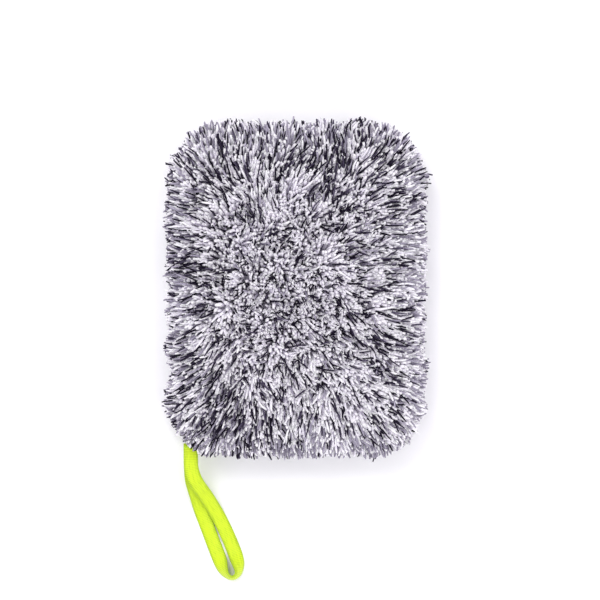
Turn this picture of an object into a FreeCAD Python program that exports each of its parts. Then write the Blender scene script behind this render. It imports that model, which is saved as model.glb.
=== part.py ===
"""Plush wash mitt with a sewn hanging loop, as a parametric FreeCAD document.

Frame: millimetres, +Z up, +Y towards the closed fingertip end, the hand goes in at -Y.
The origin is at the middle of the mitt on the surface that it lies on; the loop is not counted.
The mitt is two like halves, palm (under) and back (upper), which meet at a seam plane.
Each half is drawn once in its own frame, with +Z pointing away from the seam plane.
"""
import FreeCAD, Part
import math
import os
import Sketcher

V = FreeCAD.Vector
doc = FreeCAD.newDocument("WashMitt")
os.makedirs("parts", exist_ok=True)


# ---------------------------------------------------------------- driving dimensions

DIMENSIONS = {
    # the whole mitt, over the pile
    "mitt_width": 198,
    "mitt_length": 256,
    "tip_corner": 36,
    "mouth_corner": 30,
    "palm_pile_depth": 8,
    "back_pile_depth": 17,
    "palm_edge_round": 5,
    "back_edge_round": 15,
    # the cloth panels that the pile is knitted into
    "panel_width": 166,
    "panel_length": 226,
    "panel_tip_corner": 26,
    "panel_edge_round": 6,
    "cloth_thickness": 1,
    # what is inside
    "foam_thickness": 5,
    "foam_inset": 6,
    "lining_thickness": 0.8,
    "lining_inset": 7,
    "pocket_height": 14,
    "layer_gap": 0.2,
    # the seam between the halves
    "rim_gap": 0.8,
    "binding_thickness": 0.8,
    "tip_relief": 3.4,
    # the mouth
    "mouth_width": 146,
    "cuff_width": 140,
    "cuff_depth": 9,
    "cuff_thickness": 1,
    "cuff_fold_round": 0.9,
    "stitch_length": 3,
    "stitch_width": 0.7,
    "stitch_rise": 0.35,
    "stitch_pitch": 5,
    "stitch_inset": 6,
    # the hanging loop
    "ribbon_width": 10,
    "ribbon_thickness": 1.2,
    "ribbon_ply_gap": 0.3,
    "loop_side": 79.6,
    "loop_hinge_reach": 132.2,
    "loop_hinge_gap": 3,
    "loop_slot_width": 13,
    "loop_slot_rise": 2.6,
}

sheet = doc.addObject("Spreadsheet::Sheet", "Sheet")
for row, (alias, value) in enumerate(DIMENSIONS.items(), start=1):
    sheet.set("A%d" % row, alias.replace("_", " "))
    sheet.set("B%d" % row, str(value))
    sheet.setAlias("B%d" % row, alias)
doc.recompute()

# Distances from the seam plane, out to each layer's outer face, as sheet expressions.
POCKET_FACE = "Sheet.pocket_height / 2"
LINING_FACE = POCKET_FACE + " + Sheet.lining_thickness"
FOAM_BASE = LINING_FACE + " + Sheet.layer_gap"
FOAM_FACE = FOAM_BASE + " + Sheet.foam_thickness"
CLOTH_BASE = FOAM_FACE + " + Sheet.layer_gap"
CLOTH_FACE = CLOTH_BASE + " + Sheet.cloth_thickness"
PILE_BASE = CLOTH_FACE + " + Sheet.layer_gap"
CUFF_FACE = PILE_BASE + " + Sheet.cuff_thickness"
RIM = "Sheet.rim_gap"


def size(alias):
    """A driving dimension, read from the sheet."""
    return float(sheet.get(alias))


def from_seam(side):
    """The height of a half's outermost face above the seam plane."""
    layers = 3 * size("layer_gap") + size("lining_thickness") + size("foam_thickness")
    return size("pocket_height") / 2 + layers + size("cloth_thickness") + size(side + "_pile_depth")


SEAM_HEIGHT = from_seam("palm")
UPWARD = FreeCAD.Placement(V(0, 0, SEAM_HEIGHT), FreeCAD.Rotation())
DOWNWARD = FreeCAD.Placement(V(0, 0, SEAM_HEIGHT), FreeCAD.Rotation(V(0, 1, 0), 180))
SIDES = {"palm": DOWNWARD, "back": UPWARD}


# ---------------------------------------------------------------- sketch and feature helpers

# Sketches are first drawn at these sizes in mm; their dimensions then follow the sheet.
DRAWN_OUTLINE = (60, 80, 20)
DRAWN_BOX = 30
DRAWN_POLYGON = 20
SMALLEST_CUT = 1  # mm3
TOUCHING = 1e-4  # mm


def new_body(label, placement=FreeCAD.Placement()):
    body = doc.addObject("PartDesign::Body", label)
    body.Label = label
    body.Placement = placement
    return body


def new_sketch(body, name, plane="XY_Plane", height=None):
    """A sketch on one of the body's own origin planes, raised by a sheet expression."""
    sketch = body.newObject("Sketcher::SketchObject", name)
    origin_plane = [item for item in body.Origin.OriginFeatures if item.Role == plane][0]
    sketch.AttachmentSupport = [(origin_plane, "")]
    sketch.MapMode = "FlatFace"
    if height:
        sketch.setExpression("AttachmentOffset.Base.z", height)
    return sketch


def constrain(sketch, expression, drawn, kind, *place):
    """Adds a dimension: it starts at the size drawn and then follows a sheet expression."""
    index = sketch.addConstraint(Sketcher.Constraint(kind, *place, float(drawn)))
    sketch.setExpression("Constraints[%d]" % index, expression)


def draw_outline(sketch, half_width, tip, mouth, tip_corner, mouth_corner=None):
    """A rectangle symmetric about Y, from -mouth to +tip, with rounded corners.

    The two corners at the mouth stay square where no radius is given for them.
    """
    x, y, r = DRAWN_OUTLINE
    radii = [mouth_corner, tip_corner, tip_corner, mouth_corner]
    corners = [V(x, -y, 0), V(x, y, 0), V(-x, y, 0), V(-x, -y, 0)]
    ways = [V(1, 0, 0), V(0, 1, 0), V(-1, 0, 0), V(0, -1, 0)]
    trims = [r if radius else 0 for radius in radii]
    for side in range(4):
        start = corners[side - 1] + ways[side] * trims[side - 1]
        end = corners[side] - ways[side] * trims[side]
        sketch.addGeometry(Part.LineSegment(start, end), False)
    for side in range(4):
        following = (side + 1) % 4
        if not radii[side]:
            sketch.addConstraint(Sketcher.Constraint("Coincident", side, 2, following, 1))
            continue
        centre = corners[side] + (ways[following] - ways[side]) * r
        first = math.radians(90 * side - 90)
        circle = Part.Circle(centre, V(0, 0, 1), r)
        arc = sketch.addGeometry(Part.ArcOfCircle(circle, first, first + math.pi / 2), False)
        sketch.addConstraint(Sketcher.Constraint("Tangent", side, 2, arc, 1))
        sketch.addConstraint(Sketcher.Constraint("Tangent", arc, 2, following, 1))
        constrain(sketch, radii[side], r, "Radius", arc)
    for level in (0, 2):
        sketch.addConstraint(Sketcher.Constraint("Horizontal", level))
    for upright in (1, 3):
        sketch.addConstraint(Sketcher.Constraint("Vertical", upright))
    constrain(sketch, half_width, x, "DistanceX", -1, 1, 1, 1)
    constrain(sketch, half_width, x, "DistanceX", 3, 1, -1, 1)
    constrain(sketch, tip, y, "DistanceY", -1, 1, 2, 1)
    constrain(sketch, mouth, y, "DistanceY", 0, 1, -1, 1)


def draw_box(sketch, left, right, low, high):
    """A rectangle with each side at its own signed distance from the axes."""
    drawn = DRAWN_BOX
    points = [V(-drawn, -drawn, 0), V(drawn, -drawn, 0), V(drawn, drawn, 0), V(-drawn, drawn, 0)]
    for start, end in zip(points, points[1:] + points[:1]):
        sketch.addGeometry(Part.LineSegment(start, end), False)
    for side in range(4):
        sketch.addConstraint(Sketcher.Constraint("Coincident", side, 2, (side + 1) % 4, 1))
    for level in (0, 2):
        sketch.addConstraint(Sketcher.Constraint("Horizontal", level))
    for upright in (1, 3):
        sketch.addConstraint(Sketcher.Constraint("Vertical", upright))
    constrain(sketch, left, -drawn, "DistanceX", -1, 1, 3, 1)
    constrain(sketch, right, drawn, "DistanceX", -1, 1, 1, 1)
    constrain(sketch, low, -drawn, "DistanceY", -1, 1, 0, 1)
    constrain(sketch, high, drawn, "DistanceY", -1, 1, 2, 1)


def draw_polygon(sketch, points):
    """A closed polygon; each corner is a pair of sheet expressions."""
    count = len(points)
    angles = [2 * math.pi * index / count for index in range(count)]
    drawn = [V(math.cos(angle), math.sin(angle), 0) * DRAWN_POLYGON for angle in angles]
    for start, end in zip(drawn, drawn[1:] + drawn[:1]):
        sketch.addGeometry(Part.LineSegment(start, end), False)
    for index in range(count):
        sketch.addConstraint(Sketcher.Constraint("Coincident", index, 2, (index + 1) % count, 1))
    for index, (across, up) in enumerate(points):
        constrain(sketch, across, drawn[index].x, "DistanceX", -1, 1, index, 1)
        constrain(sketch, up, drawn[index].y, "DistanceY", -1, 1, index, 1)


def pad(body, name, sketch, length, both_ways=False):
    feature = body.newObject("PartDesign::Pad", name)
    feature.Profile = sketch
    feature.setExpression("Length", length)
    feature.Midplane = both_ways
    sketch.Visibility = False
    doc.recompute()
    return feature


def pocket_outward(body, name, sketch, depth):
    """Cuts from the sketch away from the seam plane, and makes sure that it did cut."""
    before = body.Shape.Volume
    feature = body.newObject("PartDesign::Pocket", name)
    feature.Profile = sketch
    feature.setExpression("Length", depth)
    feature.Reversed = True
    sketch.Visibility = False
    doc.recompute()
    if not body.Shape.Volume < before - SMALLEST_CUT:
        raise RuntimeError("%s.%s cuts nothing" % (body.Label, name))
    return feature


def round_edges(body, name, base, radius, chosen):
    """Fillets the edges of base that the test picks."""
    names = ["Edge%d" % (i + 1) for i, edge in enumerate(base.Shape.Edges) if chosen(edge)]
    feature = body.newObject("PartDesign::Fillet", name)
    feature.Base = (base, names)
    feature.setExpression("Radius", radius)
    doc.recompute()
    return feature


def at_height(shape, height):
    return all(abs(vertex.Z - height) < TOUCHING for vertex in shape.Vertexes)


def on_mouth_face(shape, reach):
    return all(abs(vertex.Y + reach) < TOUCHING for vertex in shape.Vertexes)


# ---------------------------------------------------------------- pieces of one half

def make_tray(side, name, inset, face, wall):
    """A cloth sheet whose three closed sides turn down to the seam; its mouth end is open."""
    label = "%s_%s" % (side, name)
    body = new_body(label, SIDES[side])
    outline = new_sketch(body, label + "_outline", height=RIM)
    draw_outline(outline, "Sheet.panel_width / 2 - %s" % inset, "Sheet.panel_length / 2 - %s" % inset,
                 "Sheet.panel_length / 2", "Sheet.panel_tip_corner - %s" % inset)
    block = pad(body, label + "_block", outline, "%s - %s" % (face, RIM))
    top, rim = block.Shape.BoundBox.ZMax, block.Shape.BoundBox.ZMin
    reach = size("panel_length") / 2
    rounded = round_edges(body, label + "_soft_edge", block, "Sheet.panel_edge_round - %s / 2" % inset,
                          lambda edge: at_height(edge, top) and not on_mouth_face(edge, reach))
    open_faces = ["Face%d" % (i + 1) for i, side_face in enumerate(rounded.Shape.Faces)
                  if at_height(side_face, rim) or on_mouth_face(side_face, reach)]
    skin = body.newObject("PartDesign::Thickness", label + "_skin")
    skin.Base = (rounded, open_faces)
    skin.setExpression("Value", wall)
    skin.Reversed = True
    doc.recompute()
    return body


def make_foam(side):
    label = side + "_foam"
    body = new_body(label, SIDES[side])
    outline = new_sketch(body, label + "_outline", height=FOAM_BASE)
    draw_outline(outline, "Sheet.panel_width / 2 - Sheet.foam_inset",
                 "Sheet.panel_length / 2 - Sheet.foam_inset",
                 "Sheet.panel_length / 2 - Sheet.layer_gap",
                 "Sheet.panel_tip_corner - Sheet.foam_inset")
    pad(body, label + "_solid", outline, "Sheet.foam_thickness")
    return body


def make_pile(side, turn):
    """The deep pile of one panel, as one closed cap that also stands out round its edge."""
    label = side + "_pile"
    body = new_body(label, SIDES[side])
    outline = new_sketch(body, label + "_outline", height=RIM)
    draw_outline(outline, "Sheet.mitt_width / 2", "Sheet.mitt_length / 2", "Sheet.mitt_length / 2",
                 "Sheet.tip_corner", "Sheet.mouth_corner")
    depth = "Sheet.%s_pile_depth" % side
    solid = pad(body, label + "_solid", outline, "%s + %s - %s" % (PILE_BASE, depth, RIM))
    top = solid.Shape.BoundBox.ZMax
    round_edges(body, label + "_soft_edge", solid, "Sheet.%s_edge_round" % side,
                lambda edge: at_height(edge, top))
    hollow = new_sketch(body, label + "_hollow_outline", height=RIM)
    draw_outline(hollow, "Sheet.panel_width / 2 + Sheet.layer_gap",
                 "Sheet.panel_length / 2 + Sheet.layer_gap", "Sheet.panel_length / 2 + Sheet.layer_gap",
                 "Sheet.panel_tip_corner")
    pocket_outward(body, label + "_hollow", hollow, "%s - %s" % (PILE_BASE, RIM))
    cut_mouth(body, label)
    cut_cuff_recess(body, label)
    cut_loop_slot(body, label, turn)
    if side == "back":
        cut_tip_relief(body, label)
    return body


def cut_mouth(body, label):
    """Opens the cap's wall where the hand goes in."""
    opening = new_sketch(body, label + "_mouth_outline", height=RIM)
    draw_box(opening, "-Sheet.mouth_width / 2", "Sheet.mouth_width / 2",
             "-Sheet.mitt_length / 2 - Sheet.layer_gap", "-Sheet.panel_length / 2 + Sheet.cuff_depth")
    pocket_outward(body, label + "_mouth", opening, "%s - %s" % (PILE_BASE, RIM))


def cut_cuff_recess(body, label):
    """Leaves room for the outer leg of the cuff's binding."""
    recess = new_sketch(body, label + "_cuff_recess_outline", height=RIM)
    draw_box(recess, "-Sheet.mouth_width / 2", "Sheet.mouth_width / 2",
             "-Sheet.panel_length / 2 - Sheet.cuff_thickness - 2 * Sheet.layer_gap",
             "-Sheet.panel_length / 2 + Sheet.cuff_depth")
    depth = "%s + 2 * Sheet.layer_gap - %s" % (CUFF_FACE, RIM)
    pocket_outward(body, label + "_cuff_recess", recess, depth)


def cut_loop_slot(body, label, turn):
    """A slot at the mouth's left corner, where the hanging loop's two plies come out."""
    slot = new_sketch(body, label + "_loop_slot_outline", height=RIM)
    low = "%d * Sheet.loop_side - Sheet.loop_slot_width / 2" % turn
    high = "%d * Sheet.loop_side + Sheet.loop_slot_width / 2" % turn
    draw_box(slot, low, high, "-Sheet.mitt_length / 2 - Sheet.layer_gap",
             "-Sheet.panel_length / 2 + Sheet.cuff_depth")
    pocket_outward(body, label + "_loop_slot", slot, "Sheet.loop_slot_rise - %s" % RIM)


def cut_tip_relief(body, label):
    """Keeps the upper cap's fingertip wall clear of the lower one as the mouth opens."""
    relief = new_sketch(body, label + "_tip_relief_outline", height=RIM)
    draw_box(relief, "-Sheet.mitt_width", "Sheet.mitt_width",
             "Sheet.panel_length / 2 - Sheet.layer_gap", "Sheet.mitt_length")
    pocket_outward(body, label + "_tip_relief", relief, "Sheet.tip_relief - %s" % RIM)


def make_cuff_binding(side):
    """A tape folded round the mouth edge of lining, foam and cloth, with a C section."""
    label = side + "_cuff_binding"
    body = new_body(label, SIDES[side])
    section = new_sketch(body, label + "_section", plane="YZ_Plane")
    edge = "-Sheet.panel_length / 2 - Sheet.layer_gap"
    front = edge + " - Sheet.cuff_thickness"
    back = "-Sheet.panel_length / 2 - Sheet.layer_gap + Sheet.cuff_depth - Sheet.cuff_thickness"
    inner = POCKET_FACE + " - Sheet.layer_gap / 2"
    outer = CLOTH_FACE + " + Sheet.layer_gap / 2"
    draw_polygon(section, [
        (front, inner + " - Sheet.cuff_thickness"),
        (back, inner + " - Sheet.cuff_thickness"),
        (back, inner),
        (edge, inner),
        (edge, outer),
        (back, outer),
        (back, outer + " + Sheet.cuff_thickness"),
        (front, outer + " + Sheet.cuff_thickness"),
    ])
    solid = pad(body, label + "_solid", section, "Sheet.cuff_width", both_ways=True)
    front_y = -size("panel_length") / 2 - size("layer_gap") - size("cuff_thickness")
    round_edges(body, label + "_fold", solid, "Sheet.cuff_fold_round",
                lambda edge: edge.Length > size("cuff_width") / 2 and on_mouth_face(edge, -front_y))
    return body


def make_cuff_stitching(side):
    """The row of stitches that shows on the binding inside the mouth."""
    label = side + "_cuff_stitching"
    body = new_body(label, SIDES[side])
    body.AllowCompound = True
    face = "%s - Sheet.layer_gap / 2 - Sheet.cuff_thickness - Sheet.stitch_rise" % POCKET_FACE
    count = int((size("cuff_width") - 2 * size("stitch_pitch")) / size("stitch_pitch")) + 1
    first = new_sketch(body, label + "_first_outline", height=face)
    centre = "-Sheet.panel_length / 2 + Sheet.stitch_inset"
    start = "-Sheet.cuff_width / 2 + Sheet.stitch_pitch"
    draw_box(first, start + " - Sheet.stitch_length / 2", start + " + Sheet.stitch_length / 2",
             centre + " - Sheet.stitch_width / 2", centre + " + Sheet.stitch_width / 2")
    stitch = pad(body, label + "_first", first, "Sheet.stitch_rise")
    row = body.newObject("PartDesign::LinearPattern", label + "_row")
    row.Originals = [stitch]
    row.Direction = (first, ["H_Axis"])
    row.Length = size("stitch_pitch") * (count - 1)
    row.Occurrences = count
    body.Tip = row
    doc.recompute()
    return body


# ---------------------------------------------------------------- the seam between the halves

def make_seam_binding():
    """The tape that binds both panels' edges together on the three closed sides."""
    label = "seam_binding"
    body = new_body(label, UPWARD)
    low = "-Sheet.binding_thickness / 2"
    outline = new_sketch(body, label + "_outline", height=low)
    draw_outline(outline, "Sheet.panel_width / 2", "Sheet.panel_length / 2", "Sheet.panel_length / 2",
                 "Sheet.panel_tip_corner")
    pad(body, label + "_solid", outline, "Sheet.binding_thickness")
    inside = new_sketch(body, label + "_inside_outline", height=low)
    inset = "Sheet.lining_inset - Sheet.lining_thickness"
    draw_outline(inside, "Sheet.panel_width / 2 - (%s)" % inset, "Sheet.panel_length / 2 - (%s)" % inset,
                 "Sheet.mitt_length / 2", "Sheet.panel_tip_corner - (%s)" % inset)
    pocket_outward(body, label + "_inside", inside, "Sheet.binding_thickness")
    return body


def seam_path(inset):
    """The line that the seam's stitches follow, from the mouth's left corner to its right."""
    side = size("panel_width") / 2 - inset
    tip = size("panel_length") / 2 - inset
    corner = size("panel_tip_corner") - inset
    mouth = -size("panel_length") / 2 + size("stitch_pitch")
    slant = corner * (1 - math.sqrt(0.5))
    left_bend = V(slant - side, tip - slant, 0)
    right_bend = V(side - slant, tip - slant, 0)
    return Part.Wire([
        Part.LineSegment(V(-side, mouth, 0), V(-side, tip - corner, 0)).toShape(),
        Part.Arc(V(-side, tip - corner, 0), left_bend, V(corner - side, tip, 0)).toShape(),
        Part.LineSegment(V(corner - side, tip, 0), V(side - corner, tip, 0)).toShape(),
        Part.Arc(V(side - corner, tip, 0), right_bend, V(side, tip - corner, 0)).toShape(),
        Part.LineSegment(V(side, tip - corner, 0), V(side, mouth, 0)).toShape(),
    ])


def make_seam_stitching():
    """Separate lock stitches on the inner face of the binding, all along the seam."""
    length, width, rise = size("stitch_length"), size("stitch_width"), size("stitch_rise")
    path = seam_path(size("lining_inset") / 2)
    count = int(path.Length / (2 * size("stitch_pitch")))
    stitches = []
    for point, along in stations(path, count):
        stitch = Part.makeBox(length, width, rise, V(-length / 2, -width / 2, 0))
        turn = FreeCAD.Rotation(V(1, 0, 0), along)
        stitch.Placement = FreeCAD.Placement(point, turn)
        stitches.append(stitch)
    feature = doc.addObject("Part::Feature", "seam_stitching")
    feature.Label = "seam_stitching"
    feature.Shape = Part.makeCompound(stitches)
    feature.Placement = FreeCAD.Placement(
        V(0, 0, SEAM_HEIGHT - size("binding_thickness") / 2 - rise), FreeCAD.Rotation())
    return feature


def stations(wire, count):
    """Evenly spaced points on a wire, each with the direction of the wire there."""
    points = wire.discretize(Number=2 * count + 1)
    return [(points[i], points[i + 1] - points[i - 1]) for i in range(1, 2 * count, 2)]


# ---------------------------------------------------------------- the hanging loop

# The loop's centreline from the hinge, out along the left ply, round the end and back along
# the right ply, in millimetres. The right ply starts on top of the left one.
LOOP_ROUTE = [
    (-79.6, -133.8, 21.2), (-79.5, -143.0, 18.8), (-77.8, -153.0, 8.6), (-74.6, -166.5, 1.5),
    (-68.9, -184.0, 1.5), (-61.0, -203.6, 1.5),
    (-56.2, -213.4, 1.5), (-51.1, -215.5, 1.5), (-45.9, -213.7, 1.5), (-43.2, -208.9, 1.5),
    (-45.2, -198.9, 1.5), (-50.6, -182.5, 1.5), (-58.4, -168.0, 3.4), (-68.4, -155.5, 12.8),
    (-77.2, -145.5, 22.4), (-79.6, -133.8, 24.0),
]


# Each bend of the route uses this share of the shorter of its two runs.
ARC_SHARE = 0.45


def rounded_path(points):
    """Straight runs joined by tangent arcs."""
    edges = []
    radii = []
    start = points[0]
    for before, corner, after in zip(points, points[1:], points[2:]):
        incoming = (corner - before).normalize()
        outgoing = (after - corner).normalize()
        turn = incoming.getAngle(outgoing)
        shorter = min((corner - before).Length, (after - corner).Length)
        setback = ARC_SHARE * shorter
        radii.append(setback / math.tan(turn / 2))
        entry = corner - incoming * setback
        leave = corner + outgoing * setback
        bisector = (outgoing - incoming).normalize()
        middle = corner + bisector * (radii[-1] / math.cos(turn / 2) - radii[-1])
        edges.append(Part.LineSegment(start, entry).toShape())
        edges.append(Part.Arc(entry, middle, leave).toShape())
        start = leave
    edges.append(Part.LineSegment(start, points[-1]).toShape())
    return Part.Wire(edges), radii


def make_hang_loop():
    """One flat ribbon swept round the loop's route; it leaves the seam with its width level."""
    points = [V(*point) for point in LOOP_ROUTE]
    path, radii = rounded_path(points)
    half_width, half_thick = size("ribbon_width") / 2, size("ribbon_thickness") / 2
    start, along = points[0], (points[1] - points[0]).normalize()
    across = V(0, 0, 1).cross(along).normalize()
    upward = along.cross(across)
    corners = [start + across * (half_width * i) + upward * (half_thick * j)
               for i, j in ((-1, -1), (1, -1), (1, 1), (-1, 1))]
    sweep = Part.BRepOffsetAPI.MakePipeShell(path)
    sweep.add(Part.makePolygon(corners + corners[:1]))
    sweep.build()
    sweep.makeSolid()
    ribbon = sweep.shape()
    feature = doc.addObject("Part::Feature", "hang_loop")
    feature.Label = "hang_loop"
    feature.Shape = ribbon
    section = size("ribbon_width") * size("ribbon_thickness")
    print("hang_loop radii, mm:", ", ".join("%.1f" % radius for radius in radii))
    print("hang_loop length %.1f mm, volume %.0f mm3, section x length %.0f mm3"
          % (path.Length, ribbon.Volume, section * path.Length))
    return feature


def make_loop_root():
    """The ribbon's two ends, one on the other, from the corner of the seam out to the bend."""
    label = "hang_loop_ends"
    body = new_body(label, UPWARD)
    body.AllowCompound = True
    near = "-Sheet.panel_length / 2 - Sheet.layer_gap"
    far = "-Sheet.loop_hinge_reach + Sheet.loop_hinge_gap"
    left = "-Sheet.loop_side - Sheet.ribbon_width / 2"
    right = "-Sheet.loop_side + Sheet.ribbon_width / 2"
    levels = {"lower": "-Sheet.ribbon_ply_gap / 2 - Sheet.ribbon_thickness",
              "upper": "Sheet.ribbon_ply_gap / 2"}
    for ply, level in levels.items():
        outline = new_sketch(body, "%s_%s_outline" % (label, ply), height=level)
        draw_box(outline, left, right, far, near)
        pad(body, "%s_%s" % (label, ply), outline, "Sheet.ribbon_thickness")
    return body


def make_bartack():
    """The close bar of thread that holds the loop's ends."""
    label = "hang_loop_bartack"
    body = new_body(label, UPWARD)
    level = "Sheet.ribbon_ply_gap / 2 + Sheet.ribbon_thickness"
    outline = new_sketch(body, label + "_outline", height=level)
    draw_box(outline, "-Sheet.loop_side - Sheet.ribbon_width / 2 + Sheet.stitch_width",
             "-Sheet.loop_side + Sheet.ribbon_width / 2 - Sheet.stitch_width",
             "-Sheet.panel_length / 2 - Sheet.stitch_inset",
             "-Sheet.panel_length / 2 - Sheet.stitch_inset + Sheet.stitch_length")
    pad(body, label + "_solid", outline, "Sheet.stitch_rise")
    return body


# ---------------------------------------------------------------- the assembly

pieces = [make_seam_binding(), make_seam_stitching(), make_loop_root(), make_bartack(), make_hang_loop()]
for half, turned in (("palm", 1), ("back", -1)):
    pieces.append(make_pile(half, turned))
    pieces.append(make_tray(half, "cloth", "0", CLOTH_FACE, "Sheet.cloth_thickness"))
    pieces.append(make_foam(half))
    pieces.append(make_tray(half, "lining", "Sheet.lining_inset", LINING_FACE, "Sheet.lining_thickness"))
    pieces.append(make_cuff_binding(half))
    pieces.append(make_cuff_stitching(half))


# ---------------------------------------------------------------- checks and files

doc.recompute()
for item in doc.Objects:
    if "Invalid" in item.State or "Error" in item.State:
        raise RuntimeError("%s failed: %s" % (item.Label, item.State))
for piece in pieces:
    if piece.Shape.isNull() or not piece.Shape.isValid():
        raise RuntimeError("%s has no valid shape" % piece.Label)
    piece.Shape.exportStep("parts/%s.step" % piece.Label)
    box = piece.Shape.optimalBoundingBox(False)
    print("%-22s %3d solids  x %7.1f %7.1f  y %7.1f %7.1f  z %6.2f %6.2f" % (
        piece.Label, len(piece.Shape.Solids), box.XMin, box.XMax, box.YMin, box.YMax, box.ZMin, box.ZMax))
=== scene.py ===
"""The looks of a plush wash mitt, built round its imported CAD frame. Lengths are in metres."""
import math

import bpy
import numpy as np
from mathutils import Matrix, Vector


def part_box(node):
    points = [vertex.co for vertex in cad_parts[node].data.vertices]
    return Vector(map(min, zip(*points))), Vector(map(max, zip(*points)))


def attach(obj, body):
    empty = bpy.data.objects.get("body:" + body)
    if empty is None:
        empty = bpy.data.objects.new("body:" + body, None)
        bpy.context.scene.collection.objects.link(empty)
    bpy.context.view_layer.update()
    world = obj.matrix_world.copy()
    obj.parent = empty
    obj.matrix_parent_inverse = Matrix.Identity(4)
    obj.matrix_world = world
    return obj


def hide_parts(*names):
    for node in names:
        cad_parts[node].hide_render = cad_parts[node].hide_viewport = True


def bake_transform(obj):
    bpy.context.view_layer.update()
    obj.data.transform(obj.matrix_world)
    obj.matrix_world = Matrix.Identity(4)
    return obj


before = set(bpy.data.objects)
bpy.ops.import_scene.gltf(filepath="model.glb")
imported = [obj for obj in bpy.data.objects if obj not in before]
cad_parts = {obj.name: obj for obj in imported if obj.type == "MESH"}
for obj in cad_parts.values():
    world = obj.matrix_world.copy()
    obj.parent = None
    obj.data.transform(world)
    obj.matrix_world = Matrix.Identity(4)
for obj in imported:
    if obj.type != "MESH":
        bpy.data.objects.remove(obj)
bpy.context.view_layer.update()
MM = 0.001
UP = np.array([0.0, 0.0, 1.0])


# ---------------- sizes, read from the frame

cloth_low, cloth_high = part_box("back_cloth")
palm_low, palm_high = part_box("palm_cloth")
pile_low, pile_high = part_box("back_pile")
HALF_WIDTH = cloth_high.x
HALF_LENGTH = cloth_high.y
BACK_FACE = cloth_high.z
PALM_FACE = palm_low.z
SEAM = (cloth_low.z + palm_high.z) / 2
FLOOR = 0.0
PANEL_CORNER = 26 * MM
CLOTH_THICKNESS = 1 * MM
LINING_THICKNESS = 0.8 * MM
WALL_ROUND = 6 * MM
# The back panel swells by CROWN in its middle, which it reaches this far in from its edges.
CROWN = 2.5 * MM
PALM_CROWN = 0.3 * MM
CROWN_RISE = 60 * MM
CROWN_RISE_AT_MOUTH = 70 * MM


# ---------------- small helpers

def collection_link(obj):
    bpy.context.scene.collection.objects.link(obj)
    return obj


def mesh_from_arrays(name, points, face_sizes, corners, material):
    """A smooth-shaded mesh object from flat arrays of corner indices."""
    mesh = bpy.data.meshes.new(name)
    mesh.vertices.add(len(points))
    mesh.vertices.foreach_set("co", np.asarray(points, np.float32).ravel())
    mesh.loops.add(len(corners))
    mesh.loops.foreach_set("vertex_index", np.asarray(corners, np.int32))
    mesh.polygons.add(len(face_sizes))
    starts = np.concatenate([[0], np.cumsum(face_sizes)[:-1]])
    mesh.polygons.foreach_set("loop_start", starts.astype(np.int32))
    mesh.update(calc_edges=True)
    mesh.validate()
    mesh.polygons.foreach_set("use_smooth", np.ones(len(face_sizes), bool))
    mesh.materials.append(material)
    return collection_link(bpy.data.objects.new(name, mesh))


def grid_quads(index):
    """The quads between a grid's rows and columns of point indices, one quad a row."""
    around = [index[:-1, :-1], index[:-1, 1:], index[1:, 1:], index[1:, :-1]]
    return np.stack(around, axis=-1).reshape(-1, 4)


def grid_mesh(name, points, material):
    """A mesh from a grid of points, rows by columns."""
    rows, columns = points.shape[:2]
    quads = grid_quads(np.arange(rows * columns).reshape(rows, columns))
    return mesh_from_arrays(name, points.reshape(-1, 3), np.full(len(quads), 4), quads.ravel(), material)


def apply_modifiers(obj):
    graph = bpy.context.evaluated_depsgraph_get()
    mesh = bpy.data.meshes.new_from_object(obj.evaluated_get(graph))
    obj.modifiers.clear()
    obj.data = mesh
    return obj


def thicken(obj, thickness, offset=0):
    """Gives a surface its thickness: half to each side, or all of it inward with an offset of -1."""
    shell = obj.modifiers.new("thickness", "SOLIDIFY")
    shell.thickness = thickness
    shell.offset = offset
    return apply_modifiers(obj)


def unit(vectors):
    shortest = 1e-9
    return vectors / np.maximum(np.linalg.norm(vectors, axis=-1, keepdims=True), shortest)


def stacked(x, y, z):
    """Points from their coordinates, each of them an array or one number for all."""
    return np.stack(np.broadcast_arrays(x, y, z), axis=-1)


def smoothstep(low, high, value):
    t = np.clip((value - low) / (high - low), 0, 1)
    return t * t * (3 - 2 * t)


class Waves:
    """Smooth seeded noise over the plane: a sum of plane waves with a standard deviation of 1."""

    def __init__(self, seed, wavelength, count=9):
        rng = np.random.default_rng(seed)
        turn = rng.uniform(0, 2 * math.pi, count)
        pace = 2 * math.pi / (wavelength * rng.uniform(0.7, 1.6, count))
        self.across = np.stack([np.cos(turn), np.sin(turn)], axis=1) * pace[:, None]
        self.phase = rng.uniform(0, 2 * math.pi, count)
        self.scale = math.sqrt(2 / count)

    def __call__(self, x, y):
        angle = np.multiply.outer(x, self.across[:, 0]) + np.multiply.outer(y, self.across[:, 1])
        return self.scale * np.cos(angle + self.phase).sum(axis=-1)


# ---------------- materials

WHOLE_TURN = 2 * math.pi
# A wave texture at scale 1 repeats each 0.314 of its vector.
WAVE_REPEAT = 0.314


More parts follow.
